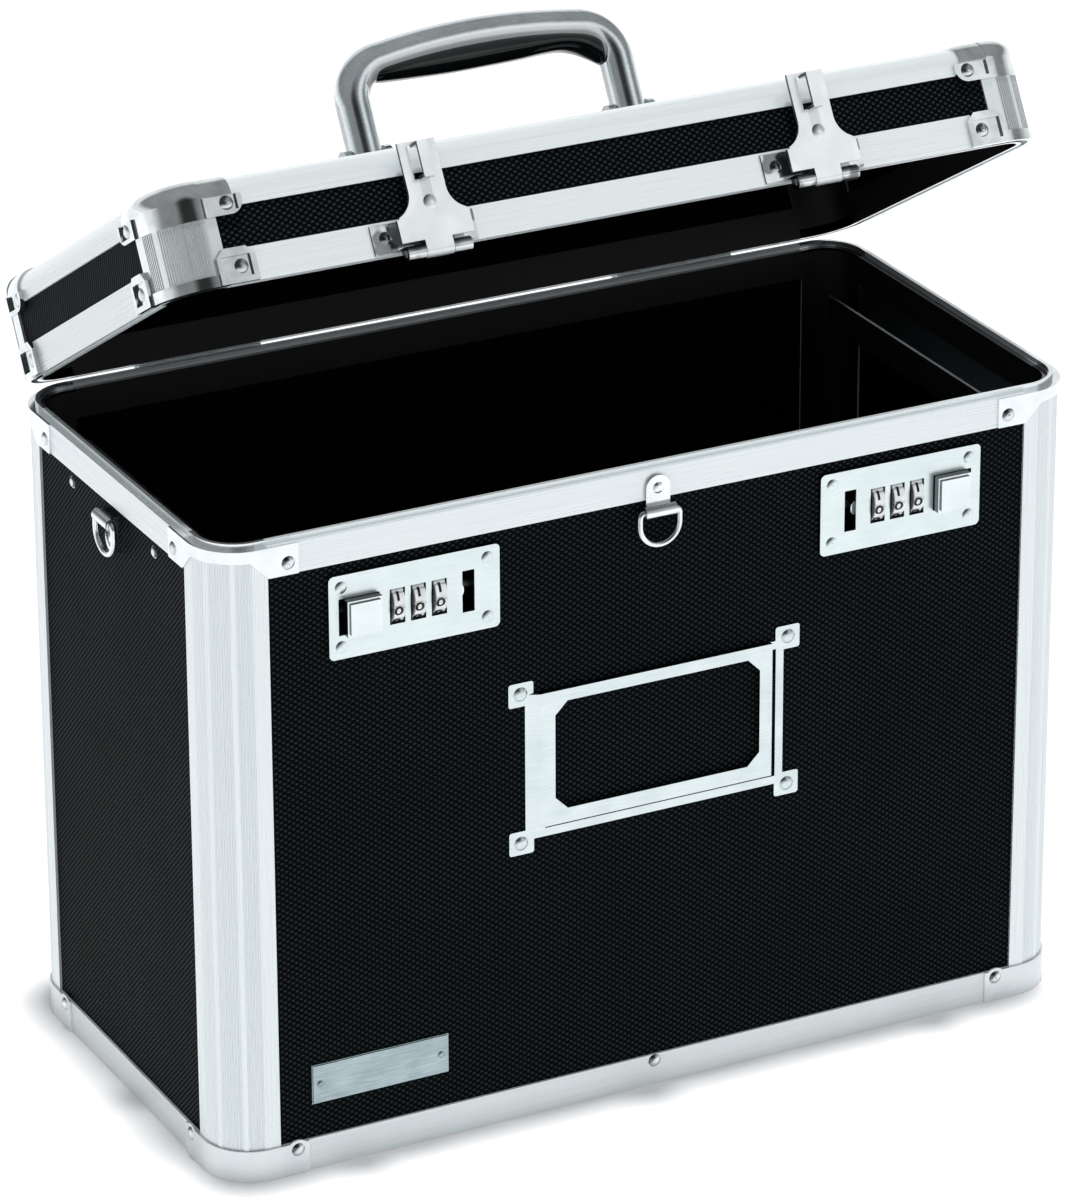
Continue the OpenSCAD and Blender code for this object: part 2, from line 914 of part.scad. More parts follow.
// Channel round the lower edge of the lid, with a groove that takes the tongue
module lid_rim_rails() {
    color("#d4d7d9")
        on_lid()
            along_sides()
                difference() {
                    box_2d(0, wall, 0, lid_rim_h);
                    box_2d(skin_t, wall - skin_t, lid_web, lid_rim_h + cut);
                    box_2d(groove_v[0], groove_v[1], -cut, tongue_h + seat);
                }
}

// Rounded edging: a downward channel for the wall and an inward one for the top board
module lid_edge_rails() {
    color("#d4d7d9")
        on_lid()
            difference() {
                along_sides(post_r)
                    lid_edge_section();
                translate([0, 0, lid_h - skin_t - board_t])
                    linear_extrude(board_t)
                        rounded_board_2d();
            }
}

module lid_edge_section() {
    e = lid_edge_r;
    difference() {
        union() {
            box_2d(0, skin_t, lid_h - lid_edge_h, lid_h - e);
            box_2d(wall - skin_t, wall, lid_h - lid_edge_h, lid_h - wall);
            box_2d(e, lid_edge_h, lid_h - skin_t, lid_h);
            box_2d(skin_t, lid_edge_h, lid_h - wall, lid_h - wall + skin_t);
            intersection() {
                translate([e, lid_h - e])
                    circle(e);
                box_2d(0, e, lid_h - e, lid_h);
            }
        }
        intersection() {
            translate([e, lid_h - e])
                circle(e - skin_t);
            box_2d(0, wall - skin_t, lid_h - wall + skin_t, lid_h);
        }
        box_2d(skin_t, wall - skin_t, lid_h - e - cut, lid_h - wall);
    }
}

module lid_posts() {
    color("#c9cdd0")
        on_lid()
            at_corners()
                translate([0, 0, lid_web])
                    linear_extrude(lid_h - lid_edge_h - lid_web)
                        post_section();
}

// Pocketed ear on a face: outline children, pocket cut from its front
module pocketed_ear(pocket) {
    both_faces()
        difference() {
            rotate([90, 0, 0])
                linear_extrude(lid_ear_t)
                    children();
            translate([0, -lid_ear_t + pocket_d, 0])
                rotate([90, 0, 0])
                    linear_extrude(pocket_d + cut)
                        box_2d(pocket[0], pocket[1], pocket[2], pocket[3]);
        }
}

// Rounded cap over an upper corner of the lid, with an ear on each face
module lid_caps() {
    e = lid_edge_r;
    top = lid_h + plate_t;
    out = post_r + plate_t;
    color("#dfe2e4")
        on_lid()
            at_corners() {
                translate([post_r, post_r, 0])
                    rotate_extrude(angle = 90, start = 180) {
                        difference() {
                            union() {
                                box_2d(0, out, lid_ear_low, top - e);
                                box_2d(0, out - e, top - e, top);
                                intersection() {
                                    translate([out - e, top - e])
                                        circle(e);
                                    box_2d(out - e, out, top - e, top);
                                }
                            }
                            box_2d(-cut, post_r, lid_ear_low - cut, lid_h - lid_edge_h);
                            box_2d(-cut, inner_r, lid_ear_low - cut, top + cut);
                        }
                        box_2d(0, inner_r, lid_h - skin_t, top);
                    }
                pocketed_ear([lid_ear - 13.5, lid_ear - 2, lid_ear_low + 1.5, lid_ear_low + 8.2])
                    cap_ear_2d();
                both_faces()
                    cap_wing();
            }
}

module cap_ear_2d() {
    mid = lid_ear_low + 5;
    box_2d(post_r, lid_ear - 5, lid_ear_low, lid_h - lid_edge_r);
    intersection() {
        translate([lid_ear - 5, mid])
            circle(5);
        box_2d(lid_ear - 5, lid_ear, lid_ear_low, lid_h - lid_edge_r);
    }
}

// Thin sheet that follows the rounded edging beside the cap
module cap_wing() {
    e = lid_edge_r;
    translate([post_r, 0, 0])
        rotate([90, 0, 90])
            linear_extrude(lid_ear - post_r - 3)
                difference() {
                    union() {
                        intersection() {
                            translate([e, lid_h - e])
                                circle(e + plate_t);
                            box_2d(-plate_t, e, lid_h - e, lid_h + plate_t);
                        }
                        box_2d(e, post_r, lid_h, lid_h + plate_t);
                    }
                    translate([e, lid_h - e])
                        circle(e);
                }
}

module lid_corner_plates() {
    strip = 4;
    color("#dfe2e4")
        on_lid()
            at_corners() {
                linear_extrude(strip)
                    corner_ring(post_r, post_r + plate_t);
                difference() {
                    linear_extrude(lid_web)
                        corner_band(0, wall);
                    translate([0, 0, -cut])
                        linear_extrude(tongue_h + seat + cut)
                            groove_2d();
                }
                pocketed_ear([post_r + 1.5, lid_ear - 2, 2, 9.6])
                    polygon([[post_r, 0], [lid_ear, 0], [lid_ear, 9.5], [lid_ear - 3, 12.5],
                        [post_r + 3, 12.5], [post_r, 9.5]]);
            }
}

// The corner's part of the groove, run on past the post's edges
module groove_2d() {
    corner_ring(post_r - groove_v[1], post_r - groove_v[0]);
    both_faces()
        box_2d(post_r, post_w + cut, groove_v[0], groove_v[1]);
}

module lid_rivets() {
    color("#e3e5e6")
        on_lid()
            at_corners() {
                ear_rivets(lid_ear - 5.6, lid_ear_low + 4.3, lid_ear_t - pocket_d);
                ear_rivets(lid_ear - 5.6, 5.8, lid_ear_t - pocket_d);
            }
}

// Riveted base on the lid's rim with the two outer knuckles of the hasp
module hasp_bases() {
    knuckle = [5.4, 7];
    color("#dde0e2")
        on_lid()
            for (x = hasp_x)
                translate([x, -case_d / 2, 0])
                    difference() {
                        union() {
                            translate([base_x[0], -1, 0.6])
                                cube([base_x[1] - base_x[0], 1, base_top - 0.6]);
                            for (s = [-1, 1])
                                translate([s * (knuckle[0] + knuckle[1] / 2), hasp_v, hasp_z]) {
                                    rotate([0, 90, 0])
                                        cylinder(r = knuckle_r, h = knuckle[1], center = true);
                                    translate([-knuckle[1] / 2, 0, 0])
                                        cube([knuckle[1], -hasp_v - 0.4, knuckle_r]);
                                }
                            for (s = [base_x[0] + 5, base_x[1] - 3.4])
                                translate([s, -1, 6])
                                    rotate([90, 0, 0])
                                        rivet_head(r = 2.4);
                        }
                        translate([-lock_w / 2, hasp_v, hasp_z])
                            rotate([0, 90, 0])
                                cylinder(r = pin_r, h = lock_w);
                    }
}

module hasp_pins() {
    color("#a9adb0")
        on_lid()
            for (x = hasp_x)
                translate([x, -case_d / 2 + hasp_v, hasp_z])
                    rotate([0, 90, 0])
                        cylinder(r = pin_r, h = 24.8, center = true);
}

// Leaf that stands up against the lid, with shoulders, tongue, window and raised loop
module hasp(i) {
    front = -knuckle_r;
    back = front + hasp_t;
    knuckle_w = 10.5;
    shoulder_z = [knuckle_r + 1, 12];
    flare_r = 9;
    eye = [front - loop_h + loop_t, back + cut];
    color("#e6e8e9")
        on_lid()
            translate([hasp_x[i], -case_d / 2 + hasp_v, hasp_z])
                difference() {
                    union() {
                        rotate([0, 90, 0])
                            cylinder(r = knuckle_r, h = knuckle_w, center = true);
                        translate([-knuckle_w / 2, front, 0])
                            cube([knuckle_w, hasp_t, shoulder_z[0] + cut]);
                        translate([0, back, 0])
                            rotate([90, 0, 0])
                                linear_extrude(hasp_t)
                                    difference() {
                                        hasp_outline(shoulder_z, flare_r);
                                        translate([0, loop_z])
                                            square([7.4, loop_len - 0.6], center = true);
                                    }
                        translate([-loop_w / 2, 0, loop_z])
                            rotate([90, 0, 90])
                                linear_extrude(loop_w)
                                    difference() {
                                        box_2d(front - loop_h, back, -loop_len / 2, loop_len / 2);
                                        box_2d(eye[0], eye[1], -loop_len / 2 + loop_t, loop_len / 2 - loop_t);
                                    }
                        translate([0, front, shoulder_z[1] + 4.5])
                            rotate([90, 0, 0])
                                rivet_head(r = 2.6, h = 0.6);
                    }
                    rotate([0, 90, 0])
                        cylinder(r = pin_r + run_fit, h = lock_w, center = true);
                }
}

module hasp_outline(shoulder_z, flare_r) {
    half = hasp_w / 2;
    box_2d(-shoulder_w / 2, shoulder_w / 2, shoulder_z[0], shoulder_z[1]);
    box_2d(-half, half, shoulder_z[1], hasp_len);
    for (x = [-1, 1])
        mirror([x > 0 ? 1 : 0, 0, 0])
            difference() {
                box_2d(-shoulder_w / 2 + 1, -half, shoulder_z[1], shoulder_z[1] + flare_r);
                translate([-half - flare_r, shoulder_z[1] + flare_r])
                    circle(flare_r, $fn = 96);
            }
}

// Draws children in the handle's own frame, with the pivot as origin
module on_handle() {
    on_lid()
        translate([0, 0, handle_z])
            children();
}

// Two bent legs with a low arch let into them; the legs turn on the pins
module handle() {
    sunk = 0.2;
    color("#d9dcde")
        on_handle()
            difference() {
                union() {
                    for (x = [-1, 1])
                        mirror([x > 0 ? 1 : 0, 0, 0]) {
                            translate([-handle_w / 2, 0, 0])
                                handle_leg();
                            translate([-handle_bx, 0, handle_bz])
                                rotate([90, 0, 0])
                                    rotate_extrude(angle = 90 - handle_a, start = 90 + handle_a)
                                        translate([handle_rb, 0])
                                            circle(leg_r);
                        }
                    translate([0, 0, handle_zc])
                        rotate([90, 0, 0])
                            rotate_extrude(angle = 2 * (handle_a + sunk), start = 90 - handle_a - sunk)
                                translate([handle_ra, 0])
                                    circle(bar_r);
                }
                translate([-handle_w, 0, 0])
                    rotate([0, 90, 0])
                        cylinder(r = handle_pin + run_fit, h = 2 * handle_w);
            }
}

module handle_leg() {
    rotate_extrude() {
        square([leg_r, handle_bz]);
        intersection() {
            circle(leg_r);
            box_2d(0, leg_r, -leg_r, 0);
        }
    }
}

// Sleeve let into the underside of the arch
module handle_grip() {
    color("#101112")
        on_handle()
            difference() {
                translate([0, 0, handle_zc])
                    rotate([90, 0, 0])
                        rotate_extrude(angle = 2 * handle_a, start = 90 - handle_a)
                            translate([handle_ra - grip_drop, 0])
                                circle(grip_r);
                translate([0, 0, handle_zc])
                    rotate([90, 0, 0])
                        rotate_extrude(angle = 4 * handle_a, start = 90 - 2 * handle_a)
                            translate([handle_ra, 0])
                                circle(bar_r);
            }
}

module handle_brackets() {
    inner = leg_r + 0.3;
    screw = [bracket_base[0] / 2 - 2.4, bracket_base[1] / 2 - 2.6];
    color("#d9dcde")
        on_handle()
            for (x = [-handle_w / 2, handle_w / 2])
                translate([x, 0, 0])
                    difference() {
                        union() {
                            translate([-bracket_base[0] / 2, -bracket_base[1] / 2, -pivot_h])
                                cube(bracket_base);
                            for (u = [-1, 1], v = [-1, 1])
                                translate([u * screw[0], v * screw[1], bracket_base[2] - pivot_h])
                                    rivet_head(r = screw_r, h = 0.8);
                            for (s = [-1, 1])
                                translate([s * (inner + ear_t / 2), 0, 0]) {
                                    rotate([0, 90, 0])
                                        cylinder(r = bracket_ear, h = ear_t, center = true);
                                    translate([-ear_t / 2, -bracket_ear, -pivot_h])
                                        cube([ear_t, 2 * bracket_ear, pivot_h]);
                                }
                        }
                        rotate([0, 90, 0])
                            cylinder(r = handle_pin, h = 4 * bar_r, center = true);
                    }
}

module handle_pins() {
    color("#a9adb0")
        on_handle()
            for (x = [-handle_w / 2, handle_w / 2])
                translate([x, 0, 0])
                    rotate([0, 90, 0])
                        cylinder(r = handle_pin, h = 2 * (leg_r + 0.3 + ear_t), center = true);
}

panel_front();
panel_back();
panel_left();
panel_right();
panel_floor();
case_post(-1, -1);  // post_front_left
case_post(1, -1);  // post_front_right
case_post(-1, 1);  // post_back_left
case_post(1, 1);  // post_back_right
rim_rails();
rim_corners();
base_rails();
base_corners();
case_rivets();
file_rail(-1);  // file_rail_left
file_rail(1);  // file_rail_right
label_holder();
name_plate();
ring_bracket(0);  // ring_bracket_front
ring_bracket(3);  // ring_bracket_left
ring_bracket(1);  // ring_bracket_right
strap_ring(0);  // strap_ring_front
strap_ring(3);  // strap_ring_left
strap_ring(1);  // strap_ring_right
hinge_leaves_case();
hinge_leaves_lid();
hinge_pins();
lock_plate(-1);  // lock_plate_left
lock_plate(1);  // lock_plate_right
lock_housing(-1);  // lock_housing_left
lock_housing(1);  // lock_housing_right
dial_shafts();
lock_spring(-1);  // lock_spring_left
lock_spring(1);  // lock_spring_right
lock_button(-1);  // lock_button_left
lock_button(1);  // lock_button_right
lock_bolt(-1);  // lock_bolt_left
lock_bolt(1);  // lock_bolt_right
dial(-1, 0);  // dial_left_1
dial(-1, 1);  // dial_left_2
dial(-1, 2);  // dial_left_3
dial(1, 2);  // dial_right_1
dial(1, 1);  // dial_right_2
dial(1, 0);  // dial_right_3
lid_top();
lid_walls();
lid_rim_rails();
lid_edge_rails();
lid_posts();
lid_caps();
lid_corner_plates();
lid_rivets();
hasp_bases();
hasp(0);  // hasp_left
hasp(1);  // hasp_right
hasp_pins();
handle();
handle_grip();
handle_brackets();
handle_pins();
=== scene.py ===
import math

import bmesh
import bpy
from mathutils import Matrix, Vector


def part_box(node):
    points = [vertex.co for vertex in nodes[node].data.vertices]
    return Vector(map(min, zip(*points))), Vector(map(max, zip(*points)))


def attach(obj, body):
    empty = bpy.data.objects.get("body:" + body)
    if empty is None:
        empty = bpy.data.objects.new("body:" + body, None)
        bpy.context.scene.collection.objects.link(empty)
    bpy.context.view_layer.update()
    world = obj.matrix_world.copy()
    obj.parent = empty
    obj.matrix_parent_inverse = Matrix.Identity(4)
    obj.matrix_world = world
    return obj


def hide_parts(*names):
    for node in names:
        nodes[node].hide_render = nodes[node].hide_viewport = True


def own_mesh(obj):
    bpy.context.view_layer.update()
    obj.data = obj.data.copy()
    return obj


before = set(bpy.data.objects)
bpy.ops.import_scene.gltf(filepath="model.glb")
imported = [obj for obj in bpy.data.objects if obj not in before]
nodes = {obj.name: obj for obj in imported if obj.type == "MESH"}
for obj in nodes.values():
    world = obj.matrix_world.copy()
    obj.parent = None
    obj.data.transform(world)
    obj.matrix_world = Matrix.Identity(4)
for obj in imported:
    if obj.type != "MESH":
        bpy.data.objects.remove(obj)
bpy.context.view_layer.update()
print("frame:", len(nodes), "nodes")

mm = 0.001

# the lid stands open by this angle about the hinge pins; seamZ is where its rim lies when shut
lidPose = {"open": 30.6, "pivotY": 88.65, "pivotZ": 248.15, "seamZ": 248.3}


class Field:
    # one output socket that can be used in plain arithmetic
    def __init__(self, graph, socket):
        self.graph = graph
        self.socket = socket

    def calc(self, operation, *others):
        return self.graph.node("ShaderNodeMath", {"operation": operation}, self, *others)

    def __add__(self, other):
        return self.calc("ADD", other)

    def __radd__(self, other):
        return self.calc("ADD", other)

    def __sub__(self, other):
        return self.calc("SUBTRACT", other)

    def __rsub__(self, other):
        return self.graph.node("ShaderNodeMath", {"operation": "SUBTRACT"}, other, self)

    def __mul__(self, other):
        return self.calc("MULTIPLY", other)

    def __rmul__(self, other):
        return self.calc("MULTIPLY", other)

    def __truediv__(self, other):
        return self.calc("DIVIDE", other)

    def __rtruediv__(self, other):
        return self.graph.node("ShaderNodeMath", {"operation": "DIVIDE"}, other, self)

    def __pow__(self, other):
        return self.calc("POWER", other)

    def __gt__(self, other):
        return self.calc("GREATER_THAN", other)

    def __lt__(self, other):
        return self.calc("LESS_THAN", other)

    def __abs__(self):
        return self.calc("ABSOLUTE")

    def sin(self):
        return self.calc("SINE")

    def max(self, other):
        return self.calc("MAXIMUM", other)

    # 0 at the first value, 1 at the second, held outside them
    def ramp(self, low, high):
        return self.graph.node("ShaderNodeMapRange", {"clamp": True}, self, low, high, 0.0, 1.0)


class Graph:
    # adds nodes to the tree of a material or of the world
    def __init__(self, tree):
        self.tree = tree

    # a node of this kind; out names the output that is wanted, or else it is the first one in use
    def node(self, kind, settings, *values, out=None):
        made = self.tree.nodes.new(kind)
        for key, value in settings.items():
            setattr(made, key, value)
        live = [socket for socket in made.inputs if socket.enabled]
        for socket, value in zip(live, values):
            if isinstance(value, Field):
                self.tree.links.new(value.socket, socket)
            elif value is not None:
                socket.default_value = value
        if out:
            return Field(self, made.outputs[out])
        return Field(self, next(socket for socket in made.outputs if socket.enabled))

    def mix(self, factor, colourA, colourB):
        settings = {"data_type": "RGBA", "blend_type": "MIX"}
        colours = [c if isinstance(c, Field) else (*c, 1.0) for c in (colourA, colourB)]
        return self.node("ShaderNodeMix", settings, factor, *colours)

    def noise(self, vector, scale, detail=2.0, rough=0.5):
        settings = {"noise_dimensions": "3D"}
        return self.node("ShaderNodeTexNoise", settings, vector, scale, detail, rough)

    def vector(self, *parts):
        return self.node("ShaderNodeCombineXYZ", {}, *parts)

    def parts(self, vector):
        return [self.node("ShaderNodeSeparateXYZ", {}, vector, out=axis) for axis in "XYZ"]


# the case's corners in plan: the posts' axes, their radius, the lining inside them,
# the flutes' depth over which their painted shade grows, and the painted shade line round the mouth
corner = {"x": 157.0, "y": 68.0, "radius": 18.0, "inner": 12.2, "floorZ": 3.0, "ceilingZ": 281.5,
          "shallow": 0.04, "deep": 0.24,
          "lineOut": 14.3, "lineIn": 12.2, "lineLow": 246.0, "lineHigh": 248.15, "lineMix": 0.9}

# a face counts as turned along an axis when its direction there is above this
squareOn = 0.7


class Surface(Graph):
    # a material, with its shader and the coordinates that its patterns use
    def __init__(self, name, **uniform):
        self.material = bpy.data.materials.new(name)
        self.material.use_nodes = True
        super().__init__(self.material.node_tree)
        self.shader = self.tree.nodes["Principled BSDF"]
        for socketName, value in uniform.items():
            self.shader.inputs[socketName.replace("_", " ")].default_value = value

    def feed(self, socketName, field):
        self.tree.links.new(field.socket, self.shader.inputs[socketName])

    # object coordinates in millimetres, as if the lid were shut
    def place(self, onLid=False):
        source = self.node("ShaderNodeTexCoord", {}, out="Object")
        x, y, z = (part * 1000.0 for part in self.parts(source))
        if onLid:
            y, z = self.shut(y - lidPose["pivotY"], z - lidPose["pivotZ"])
            y, z = y + lidPose["pivotY"], z + lidPose["pivotZ"]
        return x, y, z

    # which way the surface faces, as if the lid were shut
    def facing(self, onLid=False):
        x, y, z = self.parts(self.node("ShaderNodeTexCoord", {}, out="Normal"))
        if onLid:
            y, z = self.shut(y, z)
        return x, y, z

    def shut(self, y, z):
        angle = math.radians(lidPose["open"])
        c, s = math.cos(angle), math.sin(angle)
        return y * c - z * s, y * s + z * c

    # how far a point lies from the block inside the four corner axes
    def reach(self, x, y):
        dx, dy = (abs(x) - corner["x"]).max(0.0), (abs(y) - corner["y"]).max(0.0)
        return (dx * dx + dy * dy) ** 0.5

    # 1 on the faces that look into the case or the lid, which have a black lining
    def lined(self, x, y, z):
        inside = self.reach(x, y) < corner["inner"]
        return inside * (z > corner["floorZ"]) * (z < corner["ceilingZ"])

    # above 0 along the line of painted shade round the mouth of the case
    def mouthLine(self, x, y, z):
        reach = self.reach(x, y)
        across = (reach < corner["lineOut"]) * (reach > corner["lineIn"])
        return across * (z > corner["lineLow"]) * (z < corner["lineHigh"]) * corner["lineMix"]

    def bump(self, height, strength, distance):
        self.feed("Normal", self.node("ShaderNodeBump", {}, strength, distance * mm, None, height))


# dots on the front and the top, slanted ribs with knots on the sides;
# the covering is what lies further out than outX, outY or outZ
weave = {"across": 1.6, "up": 1.15, "rib": 1.55, "leanY": 0.70, "leanZ": 0.71, "knot": 0.12,
         "gap": (0.0010, 0.0016, 0.0020), "thread": (0.022, 0.031, 0.034),
         "lining": (0.0016, 0.0016, 0.0022), "outX": 171.8, "outY": 82.8, "outZ": 283.0,
         "cloudScale": 0.03, "cloudLow": 0.75, "cloudRange": 0.5,
         "roughness": 0.62, "polish": 0.2, "relief": 0.5, "depth": 0.15}


# woven covering outside, smooth black lining inside
def boardFinish(name, onLid):
    s = Surface(name, Specular_IOR_Level=0.02)
    x, y, z = s.place(onLid)
    facing = s.facing(onLid)
    onSide, onTop = abs(facing[0]) > squareOn, abs(facing[2]) > squareOn
    across = x * (1 - onSide) + y * onSide
    up = z * (1 - onTop) + y * onTop
    dots = (across * (math.pi / weave["across"])).sin() * (up * (math.pi / weave["up"])).sin()
    ribs = ((y * weave["leanY"] + z * weave["leanZ"]) * (2 * math.pi / weave["rib"])).sin()
    knots = ((y - z) * (math.pi / weave["rib"])).sin() * weave["knot"] + (1 - weave["knot"])
    raised = dots.max(0.0) * (1 - onSide) + (ribs * knots).max(0.0) * onSide
    outside = (abs(x) > weave["outX"]).max(abs(y) > weave["outY"]).max(z > weave["outZ"])
    cloud = s.noise(s.vector(x, y, z), weave["cloudScale"], 3.0)
    light = (raised * (weave["cloudLow"] + cloud * weave["cloudRange"])) * outside
    cloth = s.mix(light, weave["gap"], weave["thread"])
    s.feed("Base Color", s.mix(outside, weave["lining"], cloth))
    s.feed("Roughness", weave["roughness"] - light * weave["polish"])
    s.bump(light, weave["relief"], weave["depth"])
    return s.material


# along and across scale the drawn lines; the flute tone is painted shade in the flutes' hollows;
# shade is the painted shade round the mouth, and the painted shade and painted dark reflections of
# the pressed metals;
# evenOut takes back part of what streaks and clouds add to the roughness
edging = {"colour": (0.80, 0.85, 0.86), "streak": (0.70, 0.76, 0.78), "groove": (0.42, 0.47, 0.50),
          "lining": (0.0020, 0.0020, 0.0026), "shade": (0.030, 0.034, 0.038),
          "along": 0.012, "across": 4.0, "streaks": (0.35, 0.72), "fluteShadeMix": 0.16,
          "cloudScale": 0.02, "streakRough": 0.08, "cloudRough": 0.06, "evenOut": 0.06,
          "liningRough": 0.3, "upright": 0.03, "level": 0.08, "depth": 0.05}


# drawn aluminium: fine lines run along each length, the faces that look inwards are lined, and shade
# is painted into the flutes and round the mouth
def edgingFinish(name, onLid, upright=False, metallic=0.5, roughness=0.3):
    s = Surface(name)
    x, y, z = s.place(onLid)
    along, across = edging["along"], edging["across"]
    if upright:
        grain = s.vector(x * across, y * across, z * along)
    else:
        flat = abs(s.facing(onLid)[2]) > squareOn
        grain = s.vector(x * along, y * (along * (1 - flat) + flat), z * across)
    lines = s.noise(grain, 1.0, 3.0, 0.65)
    cloud = s.noise(s.vector(x, y, z), edging["cloudScale"])
    streaks = lines.ramp(*edging["streaks"])
    tone = s.mix(streaks, edging["streak"], edging["colour"])
    if upright:
        # painted shade in the hollows of the flutes
        depth = corner["radius"] - s.reach(x, y)
        fluteShadeMask = depth.ramp(corner["shallow"], corner["deep"])
        fluteShadeMask = fluteShadeMask * (abs(x) > corner["x"]) * (abs(y) > corner["y"])
        tone = s.mix(fluteShadeMask * edging["fluteShadeMix"], tone, edging["groove"])
    elif not onLid:
        # painted shade along the mouth of the case
        tone = s.mix(s.mouthLine(x, y, z), tone, edging["shade"])
    lined = s.lined(x, y, z)
    s.feed("Base Color", s.mix(lined, tone, edging["lining"]))
    s.feed("Metallic", metallic * (1 - lined))
    rough = roughness - edging["evenOut"] + streaks * edging["streakRough"]
    s.feed("Roughness", rough + cloud * edging["cloudRough"] + lined * edging["liningRough"])
    s.bump(lines, edging["upright"] if upright else edging["level"], edging["depth"])
    return s.material


# what lies further out than sideX belongs to a side wall and faces left or right; the rim and patch
# values shape painted shade and painted dark reflections
pressed = {"cloudScale": 0.09, "clouds": (0.35, 0.7), "markAcross": 0.12, "markUp": 3.5,
           "marks": (0.4, 0.7), "patchScale": 0.13, "patchEdge": (0.5, 0.58), "sideX": 174.6,
           "rim": (0.06, 0.3), "rimMix": 0.5, "domeTop": 0.995, "dullRough": 0.08,
           "liningRough": 0.4, "relief": 0.05, "brushedRelief": 0.1, "depth": 0.03}


# pressed or plated metal with faint clouding: the faces that turn away from the wall get painted
# shade and painted dark reflections, as strong as the edge value says, lean says between which
# tilts, and patches are painted dark reflections
def metalFinish(name, colour, dull, roughness, onLid=False, brushed=0.0, metallic=1.0, lining=False,
                edgeShade=0.0, domed=False, lean=(0.15, 0.5), patches=0.0):
    s = Surface(name, Metallic=metallic)
    x, y, z = s.place(onLid)
    cloud = s.noise(s.vector(x, y, z), pressed["cloudScale"], 3.0).ramp(*pressed["clouds"])
    markPlace = s.vector(x * pressed["markAcross"], y * pressed["markAcross"], z * pressed["markUp"])
    marks = s.noise(markPlace, 1.0, 3.0).ramp(*pressed["marks"])
    worn = cloud * (1.0 - brushed) + marks * brushed
    tone = s.mix(worn, dull, colour)
    rough = roughness + (1.0 - worn) * pressed["dullRough"]
    # painted dark reflections in patches
    if patches:
        mirrored = s.noise(s.vector(x, y, z), pressed["patchScale"], 1.0).ramp(*pressed["patchEdge"])
        tone = s.mix(mirrored * patches, tone, edging["shade"])
    # painted shade and painted dark reflections on rims and on faces that tilt away from the wall
    if edgeShade:
        nx, ny, nz = s.facing(onLid)
        onSide = abs(x) > pressed["sideX"]
        tilt = (nz - nx) * (1 - onSide) + (nz + ny) * onSide
        if domed:
            outward = abs(nx).max(abs(ny)).max(abs(nz))
        else:
            outward = abs(ny).max(abs(nx) * onSide)
        rim = (1 - outward).ramp(*pressed["rim"]) * pressed["rimMix"]
        away = rim.max(tilt.ramp(*lean))
        if domed:
            away = away * (outward < pressed["domeTop"])
        tone = s.mix(away * edgeShade, tone, edging["shade"])
    if lining:
        # painted shade along the mouth of the case
        tone = s.mix(s.mouthLine(x, y, z), tone, edging["shade"])
        lined = s.lined(x, y, z)
        tone = s.mix(lined, tone, edging["lining"])
        rough = rough + lined * pressed["liningRough"]
    s.feed("Base Color", tone)
    s.feed("Roughness", rough)
    s.bump(marks, pressed["relief"] + pressed["brushedRelief"] * brushed, pressed["depth"])
    return s.material


# the painted pale reflection is on what faces up less than turnLeg on the legs, and than turnBar
# more on the bar;
# bar holds the heights where one gives way to the other
chrome = {"colour": (0.78, 0.85, 0.87), "dull": (0.58, 0.66, 0.69), "low": (0.90, 0.94, 0.95),
          "turnLeg": 0.15, "turnBar": 0.32, "bar": (322.0, 329.0), "blend": 0.04, "lowMatt": 0.85,
          "cloudScale": 0.1, "markAlong": 0.3, "markRound": 2.0, "worn": (0.7, 1.3),
          "roughness": 0.12, "mottle": 0.06, "relief": 0.05, "depth": 0.03}


# polished tube: grey above, with a painted pale reflection, less metallic, where it faces down
def handleFinish():
    s = Surface("handleChrome")
    x, y, z = s.place(True)
    up = s.facing()[2]
    cloud = s.noise(s.vector(x, y, z), chrome["cloudScale"], 3.0)
    along, about = chrome["markAlong"], chrome["markRound"]
    marks = s.noise(s.vector(x * along, y * about, z * about), 1.0, 3.0)
    tone = s.mix((cloud + marks).ramp(*chrome["worn"]), chrome["dull"], chrome["colour"])
    turn = z.ramp(*chrome["bar"]) * chrome["turnBar"] + chrome["turnLeg"]
    # painted pale reflection, less metallic, on what faces down
    low = (turn - up).ramp(-chrome["blend"], chrome["blend"])
    s.feed("Base Color", s.mix(low, tone, chrome["low"]))
    s.feed("Metallic", 1 - low * chrome["lowMatt"])
    s.feed("Roughness", chrome["roughness"] + cloud * chrome["mottle"] + marks * chrome["mottle"])
    s.bump(marks, chrome["relief"], chrome["depth"])
    return s.material


# the painted shade band's edge lies between from and to, in millimetres from the dial's left side
dialFace = {"colour": (0.84, 0.89, 0.89), "dull": (0.70, 0.75, 0.76), "shade": (0.02, 0.022, 0.024),
            "from": 0.5, "to": 1.2, "cloudScale": 0.2, "clouds": (0.35, 0.7), "metallic": 0.15,
            "roughness": 0.2, "mottle": 0.1}


# bright wheel with a band of painted shade at its left side
def dialFinish(dialName):
    s = Surface(dialName + "Metal", Metallic=dialFace["metallic"])
    x, y, z = s.place()
    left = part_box(dialName)[0].x / mm
    cloud = s.noise(s.vector(x, y, z), dialFace["cloudScale"])
    tone = s.mix(cloud.ramp(*dialFace["clouds"]), dialFace["dull"], dialFace["colour"])
    # painted shade on the wheel's left side
    clear = (x - left).ramp(dialFace["from"], dialFace["to"])
    s.feed("Base Color", s.mix(clear, dialFace["shade"], tone))
    s.feed("Roughness", dialFace["roughness"] + cloud * dialFace["mottle"])
    return s.material


